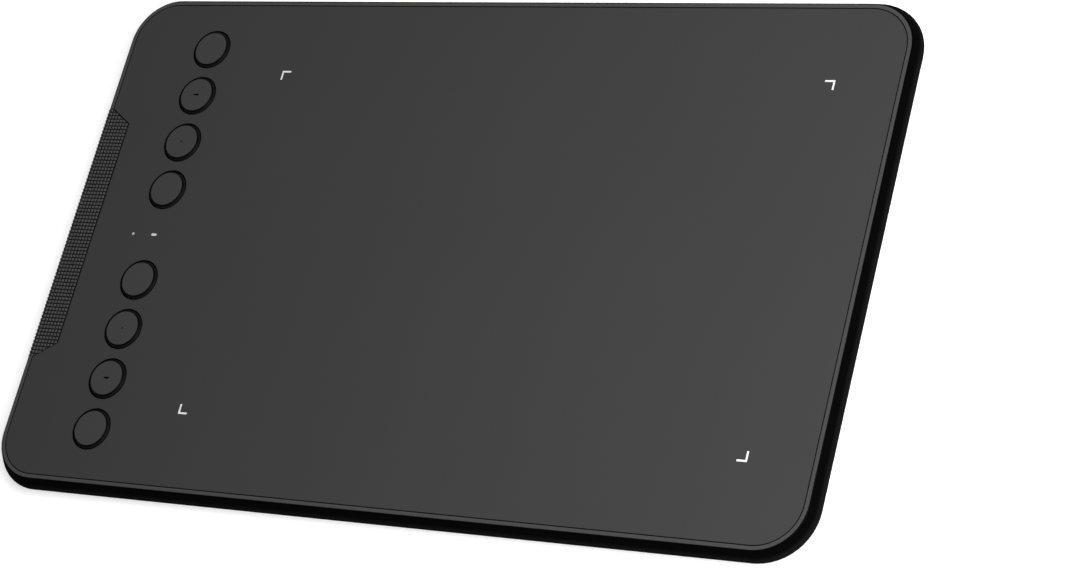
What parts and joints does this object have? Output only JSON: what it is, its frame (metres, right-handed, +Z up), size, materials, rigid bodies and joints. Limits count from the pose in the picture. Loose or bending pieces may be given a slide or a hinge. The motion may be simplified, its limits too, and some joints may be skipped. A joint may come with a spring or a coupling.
{
  "type": "graphics tablet",
  "caption": "Thin rectangular graphics tablet with rounded corners, a matt drawing panel, a column of round press keys, a textured grip strip on one edge and rubber feet.",
  "frame": {"origin": "middle of the tablet in plan, on the surface that its feet rest on", "axes": "+X along the long side, away from the keys; +Y away from the user; +Z up, out of the drawing panel"},
  "size_m": [0.261, 0.1624, 0.0095],
  "materials": {
    "frame_plastic": "fine matt moulded plastic, black on the sides and satin on the rim",
    "cover_plastic": "finely textured black plastic",
    "panel_film": "matt paper-like drawing surface with printed corner marks",
    "adhesive_film": "translucent bonding film",
    "grip_rubber": "soft black rubber with a fine square grid of studs",
    "key_plastic": "matt moulded plastic",
    "plunger_plastic": "natural moulded plastic",
    "switch_plastic": "black moulded plastic",
    "dome_steel": "thin spring steel",
    "circuit_board": "green solder mask over glass laminate",
    "shield_steel": "thin rolled steel sheet",
    "insulation_foam": "closed-cell foam sheet",
    "ribbon_film": "flat flexible cable with a light film",
    "socket_plastic": "cream moulded plastic",
    "connector_steel": "drawn stainless steel",
    "tongue_plastic": "black moulded plastic",
    "chip_plastic": "black moulding compound",
    "crystal_can": "small metal can",
    "light_plastic": "light emitting diode body",
    "clear_plastic": "frosted clear plastic",
    "screw_steel": "dark zinc-plated steel",
    "foot_rubber": "black rubber"
  },
  "bodies": {
    "tablet": {"bar_light": "light_plastic", "bar_light_pipe": "clear_plastic", "board_screws": "screw_steel", "bottom_cover": "cover_plastic", "case_screws": "screw_steel", "connector_shell": "connector_steel", "connector_tongue": "tongue_plastic", "controller_chip": "chip_plastic", "crystal": "crystal_can", "dot_light": "light_plastic", "dot_light_pipe": "clear_plastic", "drawing_panel": "panel_film", "foot_1": "foot_rubber", "foot_2": "foot_rubber", "foot_3": "foot_rubber", "foot_4": "foot_rubber", "grip_strip": "grip_rubber", "insulation_sheet": "insulation_foam", "key_board": "circuit_board", "panel_adhesive": "adhesive_film", "pen_signal_chip": "chip_plastic", "ribbon_cable": "ribbon_film", "ribbon_socket_board": "socket_plastic", "ribbon_socket_sensor": "socket_plastic", "sensor_board": "circuit_board", "shield_plate": "shield_steel", "snap_dome_1": "dome_steel", "snap_dome_2": "dome_steel", "snap_dome_3": "dome_steel", "snap_dome_4": "dome_steel", "snap_dome_5": "dome_steel", "snap_dome_6": "dome_steel", "snap_dome_7": "dome_steel", "snap_dome_8": "dome_steel", "switch_housing_1": "switch_plastic", "switch_housing_2": "switch_plastic", "switch_housing_3": "switch_plastic", "switch_housing_4": "switch_plastic", "switch_housing_5": "switch_plastic", "switch_housing_6": "switch_plastic", "switch_housing_7": "switch_plastic", "switch_housing_8": "switch_plastic", "top_frame": "frame_plastic"},
    "key_1": {"key_cap_1": "key_plastic", "switch_plunger_1": "plunger_plastic"},
    "key_2": {"key_cap_2": "key_plastic", "switch_plunger_2": "plunger_plastic"},
    "key_3": {"key_cap_3": "key_plastic", "switch_plunger_3": "plunger_plastic"},
    "key_4": {"key_cap_4": "key_plastic", "switch_plunger_4": "plunger_plastic"},
    "key_5": {"key_cap_5": "key_plastic", "switch_plunger_5": "plunger_plastic"},
    "key_6": {"key_cap_6": "key_plastic", "switch_plunger_6": "plunger_plastic"},
    "key_7": {"key_cap_7": "key_plastic", "switch_plunger_7": "plunger_plastic"},
    "key_8": {"key_cap_8": "key_plastic", "switch_plunger_8": "plunger_plastic"}
  },
  "joints": [
    {"name": "key_1_press", "type": "slide", "parent": "tablet", "child": "key_1", "axis": [0, 0, -1], "range_m": [0, 0.0004], "stiffness_N_per_m": 4000, "deforming": ["snap_dome_1"]},
    {"name": "key_2_press", "type": "slide", "parent": "tablet", "child": "key_2", "axis": [0, 0, -1], "range_m": [0, 0.0004], "stiffness_N_per_m": 4000, "deforming": ["snap_dome_2"]},
    {"name": "key_3_press", "type": "slide", "parent": "tablet", "child": "key_3", "axis": [0, 0, -1], "range_m": [0, 0.0004], "stiffness_N_per_m": 4000, "deforming": ["snap_dome_3"]},
    {"name": "key_4_press", "type": "slide", "parent": "tablet", "child": "key_4", "axis": [0, 0, -1], "range_m": [0, 0.0004], "stiffness_N_per_m": 4000, "deforming": ["snap_dome_4"]},
    {"name": "key_5_press", "type": "slide", "parent": "tablet", "child": "key_5", "axis": [0, 0, -1], "range_m": [0, 0.0004], "stiffness_N_per_m": 4000, "deforming": ["snap_dome_5"]},
    {"name": "key_6_press", "type": "slide", "parent": "tablet", "child": "key_6", "axis": [0, 0, -1], "range_m": [0, 0.0004], "stiffness_N_per_m": 4000, "deforming": ["snap_dome_6"]},
    {"name": "key_7_press", "type": "slide", "parent": "tablet", "child": "key_7", "axis": [0, 0, -1], "range_m": [0, 0.0004], "stiffness_N_per_m": 4000, "deforming": ["snap_dome_7"]},
    {"name": "key_8_press", "type": "slide", "parent": "tablet", "child": "key_8", "axis": [0, 0, -1], "range_m": [0, 0.0004], "stiffness_N_per_m": 4000, "deforming": ["snap_dome_8"]}
  ]
}
